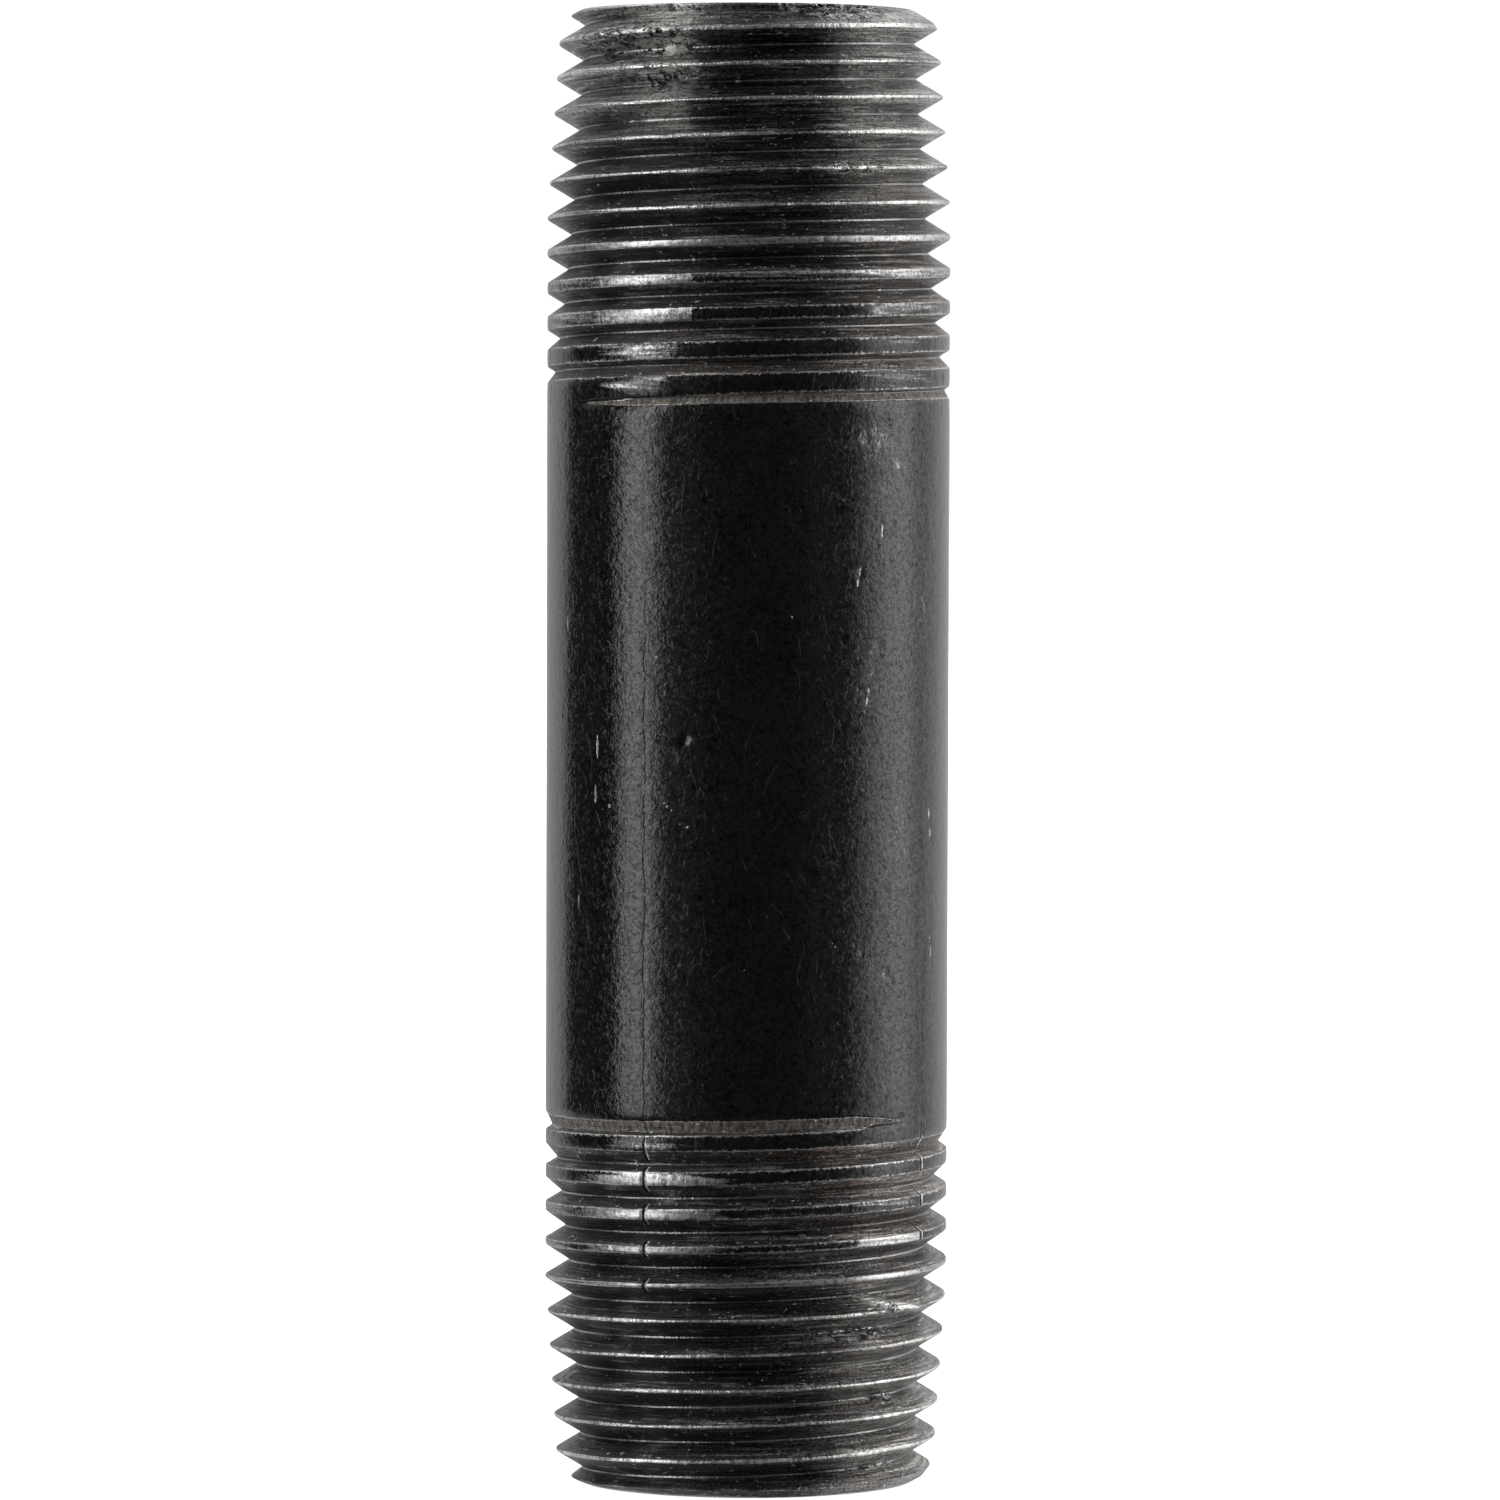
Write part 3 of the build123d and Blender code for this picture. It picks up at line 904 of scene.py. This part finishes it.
def black_lacquer(g):
    """The pipe's own skin: black lacquer with grain, dust and scratches, worn to steel at the cuts, and
    steel partly painted as a reflection in the bands that face the side lights.
    """
    place, _, radius = skin_place(g)
    skin, bare = g.attribute("skin_mm"), g.attribute("bare")
    lines = tool_lines(g, place, radius, 4.0, 0.25)
    grain = g.noise(place, 4.6, 2.0, 0.65)
    cloud = g.noise(place, 0.35, 3.0, 0.55)
    mottle = g.noise(place, 6.0, 3.0, 0.7)
    worn = g.noise(g.scaled(place, (1.0, 1.0, 0.45)), 2.2, 4.0, 0.72, 0.8)

    # Bare steel: rubbed stretches with ragged ends, and the edges beside each groove; in the bands that
    # face the side lights on the threaded ends the stretches are partly a painted reflection
    plain = g.between(skin, 0.6, 0.9)
    streaky = g.mix(plain, centred(g, lines, 1.2), centred(g, worn, 1.6))
    shows = g.add(bare, g.add(centred(g, mottle, 0.6), streaky))
    fainter = g.mix(plain, 1.0, 0.60)
    shows = g.times(g.between(shows, 0.30, 0.75), g.between(bare, 0.02, 0.10), fainter)
    wavering = g.add(skin, centred(g, g.noise(place, 5.0, 3.0, 0.7), 0.42))
    cut_through = g.between(g.add(g.attribute("torn"), centred(g, grain, 0.5)), 0.35, 0.60)
    cracks, lips = long_marks(g, place)
    metal = g.most(shows, g.between(wavering, 0.10, 0.02), cut_through, lips)

    # Hair scratches, pale specks of dust and chips, and small pits
    scratch = hair_scratches(g, place)
    cells = g.node("TexVoronoi", {"Vector": place, "Scale": 0.85, "Randomness": 1.0})
    cell_value = g.node("SeparateColor", {0: cells.outputs["Color"]}).outputs[0]
    distance = cells.outputs["Distance"]
    speck = g.math("GREATER_THAN", g.between(cell_value, 0.80, 1.0, 0.0, 0.085), distance)
    speck = g.times(speck, g.between(grain, 0.3, 0.5))
    pits = g.math("GREATER_THAN", g.between(cell_value, 0.28, 0.0, 0.0, 0.09), distance)

    # Pores swallow light: black with no gloss of the lacquer's own
    worms = g.noise(place, 3.2, 3.0, 0.68, 0.9)
    dull = g.between(worms, 0.56, 0.66)
    pored = g.most(g.between(grain, 0.58, 0.34, 0.0, 0.50), g.between(worms, 0.43, 0.36, 0.0, 0.75))

    black = g.tint((0.0040, 0.0040, 0.0042, 1), cloud, 0.3, 0.7, 1.0, (0.0075, 0.0075, 0.0078, 1))
    black = g.mix_colour(g.times(scratch, 0.8), black, (0.042, 0.042, 0.042, 1))
    black = g.mix_colour(speck, black, (0.30, 0.30, 0.29, 1))
    # Colour of the bare steel, which also paints the reflection in the bands that face the side lights
    bare_steel_and_sheen = g.tint((0.28, 0.275, 0.27, 1), lines, 0.35, 0.65, 1.0, (0.60, 0.59, 0.58, 1))
    bare_steel_and_sheen = g.tint(bare_steel_and_sheen, grain, 0.50, 0.36, 0.7, (0.10, 0.098, 0.095, 1))
    colour = g.mix_colour(metal, black, bare_steel_and_sheen)
    colour = g.mix_colour(g.times(cracks, 0.9), colour, (0.002, 0.002, 0.002, 1))

    black_rough = g.mix(g.between(grain, 0.35, 0.65), 0.05, 0.13)
    black_rough = g.mix(g.times(dull, 0.30), black_rough, 0.28)
    black_rough = g.mix(g.most(scratch, speck), black_rough, 0.45)
    rough = g.mix(metal, black_rough, g.mix(grain, 0.24, 0.42))
    rough = g.mix(cracks, rough, 0.8)

    # Relief: grain and ripples in the lacquer, lines drawn along the pipe, and the wear
    swirl = g.noise(g.scaled(place, (1.3, 1.3, 4.2)), 1.0, 4.0, 0.72)
    drawn = g.noise(g.scaled(place, (5.0, 5.0, 0.16)), 1.0, 3.0, 0.6)
    relief = g.add(
        centred(g, grain, 0.013), centred(g, g.noise(place, 9.0, 1.0, 0.5), 0.006),
        centred(g, g.noise(place, 1.9, 2.0, 0.6), 0.022), g.times(dull, -0.005),
        centred(g, swirl, 0.012), centred(g, drawn, 0.003), centred(g, cloud, 0.030),
        g.times(scratch, -0.004), g.times(speck, 0.03), g.times(pits, -0.02),
        g.times(cracks, -0.03), g.times(metal, -0.012),
    )
    return {"Base Color": colour, "Roughness": rough, "Metallic": g.most(metal, pored)}, relief


def mill_scale(g):
    """The bore's mill scale: dull, dark and rough, with a little brown."""
    place = skin_place(g)[0]
    cloud = g.noise(place, 0.5, 4.0, 0.6)
    grain = g.noise(place, 6.0, 4.0, 0.65)
    drawn = g.noise(g.scaled(place, (4.0, 4.0, 0.25)), 1.0, 3.0, 0.6)
    colour = g.tint((0.026, 0.025, 0.024, 1), cloud, 0.3, 0.7, 1.0, (0.062, 0.052, 0.044, 1))
    colour = g.tint(colour, grain, 0.58, 0.72, 0.7, (0.10, 0.085, 0.072, 1))
    relief = g.add(centred(g, grain, 0.03), centred(g, drawn, 0.02))
    return {"Base Color": colour, "Roughness": g.mix(grain, 0.42, 0.72)}, relief


# ---- Stage: floor, light and camera ----
def make_floor():
    """A plain white floor, bright enough to run into the white background."""
    half = 6.0
    corners = [(-half, -half, 0), (half, -half, 0), (half, half, 0), (-half, half, 0)]
    mesh = bpy.data.meshes.new("floor")
    mesh.from_pydata(corners, [], [(0, 1, 2, 3)])
    floor = add_object("floor", mesh)
    material = bpy.data.materials.new("floor_white")
    material.use_nodes = True
    g = Graph(material.node_tree)
    shader = g.node("BsdfPrincipled", {
        "Base Color": (0.9, 0.9, 0.9, 1), "Roughness": 1.0,
        "Emission Color": (1, 1, 1, 1), "Emission Strength": 0.86,
    })
    g.node("OutputMaterial", {"Surface": shader.outputs[0]})
    mesh.materials.append(material)
    floor.visible_glossy = floor.visible_diffuse = False


def make_world():
    """A white studio: a backdrop, a tall soft box at each side, soft light over and under the object
    from behind, and a dim room in front. Bearings are degrees from the camera, + to its right."""
    room = 0.085
    world = bpy.data.worlds.new("studio")
    bpy.context.scene.world = world
    world.use_nodes = True
    g = Graph(world.node_tree)
    direction = g.node("TexCoord").outputs["Generated"]
    x, y, z = g.node("SeparateXYZ", {0: direction}).outputs
    bearing = g.times(g.math("ARCTAN2", x, g.times(y, -1.0)), 180 / math.pi)

    def span(value, rise_from, rise_to, fall_from, fall_to):
        return g.times(g.between(value, rise_from, rise_to), g.between(value, fall_to, fall_from))

    def panel(strength, bearings, heights):
        return g.times(span(bearing, *bearings), span(z, *heights), strength)

    # The side boxes lean, so their light on the barrel is stronger towards its top
    leaning = g.between(z, -0.072, 0.006, 0.86, 1.24)
    left_box = panel(3.10, (-81, -74, -62, -49), (-0.60, -0.35, 0.80, 0.93))
    right_box = panel(2.60, (58, 90, 97, 116), (-0.75, -0.45, 0.60, 0.85))
    level = (-0.50, -0.25, 0.25, 0.50)
    fill_heights = (-0.6, -0.3, 0.5, 0.8)
    left_fill = panel(0.18, (-84, -60, -45, -15), fill_heights)
    right_fill = panel(0.11, (22, 48, 60, 80), fill_heights)
    left_screen = panel(g.between(bearing, -166, -136, 0.42, 0.76), (-301, -300, -129, -124), level)
    right_screen = panel(g.between(bearing, 166, 140, 0.55, 0.88), (92, 113, 300, 301), level)
    behind_left = (-176, -160, -115, -95)
    total = g.add(
        g.times(g.add(left_box, right_box), leaning), room, left_fill, right_fill, left_screen,
        right_screen,
        panel(0.70, behind_left, (0.22, 0.45, 0.80, 0.86)),
        panel(1.45, behind_left, (0.62, 0.72, 0.80, 0.86)),
        panel(1.20, (95, 115, 164, 178), (0.22, 0.45, 0.84, 0.92)),
        panel(0.50, behind_left, (-0.97, -0.88, -0.45, -0.22)),
        panel(0.45, behind_left, (-0.97, -0.88, -0.72, -0.62)),
        panel(0.90, (95, 115, 160, 176), (-0.97, -0.88, -0.45, -0.22)),
        g.times(g.between(g.math("ABSOLUTE", z), 0.55, 0.75), 0.10),
    )
    studio = g.node("Background", {"Color": (1, 1, 1, 1), "Strength": total})
    white = g.node("Background", {"Color": (1, 1, 1, 1), "Strength": 1.05})
    seen = g.node("LightPath").outputs["Is Camera Ray"]
    both = g.node("MixShader", {0: seen, 1: studio.outputs[0], 2: white.outputs[0]})
    g.node("OutputWorld", {"Surface": both.outputs[0]})


def make_lights():
    """One broad soft light from above, for the floor's faint contact shadow."""
    light = bpy.data.lights.new("top_soft", "AREA")
    light.shape = "RECTANGLE"
    light.size = light.size_y = 1.2
    light.energy = 6.0
    lamp = add_object("top_soft", light)
    lamp.location = (-0.3, -0.2, 1.4)
    aim = Vector((0, 0, 0.04)) - lamp.location
    lamp.rotation_euler = aim.to_track_quat("-Z", "Y").to_euler()
    lamp.visible_glossy = lamp.visible_camera = False


def make_camera():
    """A long lens a little above the middle of the nipple, tipped down slightly."""
    distance, camera_height = 458.7, 54.28
    pitch, roll, yaw = math.radians(2.012), math.radians(0.181), math.radians(0.017)
    data = bpy.data.cameras.new("camera")
    data.sensor_width = 36.0
    data.lens = 210.84
    data.clip_start, data.clip_end = 0.01, 50.0
    camera = add_object("camera", data)
    forward = Vector((math.sin(yaw), math.cos(pitch), -math.sin(pitch))).normalized()
    up = Vector((0, math.sin(pitch), math.cos(pitch)))
    right = forward.cross(up).normalized()
    up = right.cross(forward).normalized()
    right, up = (
        math.cos(roll) * right + math.sin(roll) * up,
        math.cos(roll) * up - math.sin(roll) * right,
    )
    turn = Matrix((right, up, -forward)).transposed().to_4x4()
    camera.matrix_world = Matrix.Translation(Vector((0, -distance, camera_height)) * MM) @ turn
    bpy.context.scene.camera = camera


# ---- Assembly ----
upper_end = {
    "run": upper_run, "run_out_angle": upper_run_out_angle, "zone": upper_zone,
    "z": length, "inward": -1, "seed": 200, "lead": 1.25,
}
lower_end = {
    "run": lower_run, "run_out_angle": lower_run_out_angle, "zone": lower_zone,
    "z": 0.0, "inward": 1, "seed": 300, "lead": 1.7,
}
upper_piece = threaded_end("upper_threaded_end", upper_end, upper_damage, upper_marks)
lower_piece = threaded_end("lower_threaded_end", lower_end, lower_damage, lower_marks)
barrel_piece = plain_barrel("plain_barrel")
finishes = [
    finish_material("cut_steel", cut_steel), finish_material("bore_mill_scale", mill_scale),
    finish_material("black_lacquer", black_lacquer),
]
for piece, slot_name, nodes in (
    (upper_piece, "cut_steel", ("upper_thread",)),
    (lower_piece, "cut_steel", ("lower_thread",)),
    (barrel_piece, "black_lacquer", ("barrel", "weld_seam")),
):
    for finish in finishes:
        piece.data.materials.append(finish)
    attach(piece, "root")
    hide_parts(*nodes)

make_floor()
make_world()
make_lights()
make_camera()
bpy.context.scene.view_settings.view_transform = "Standard"
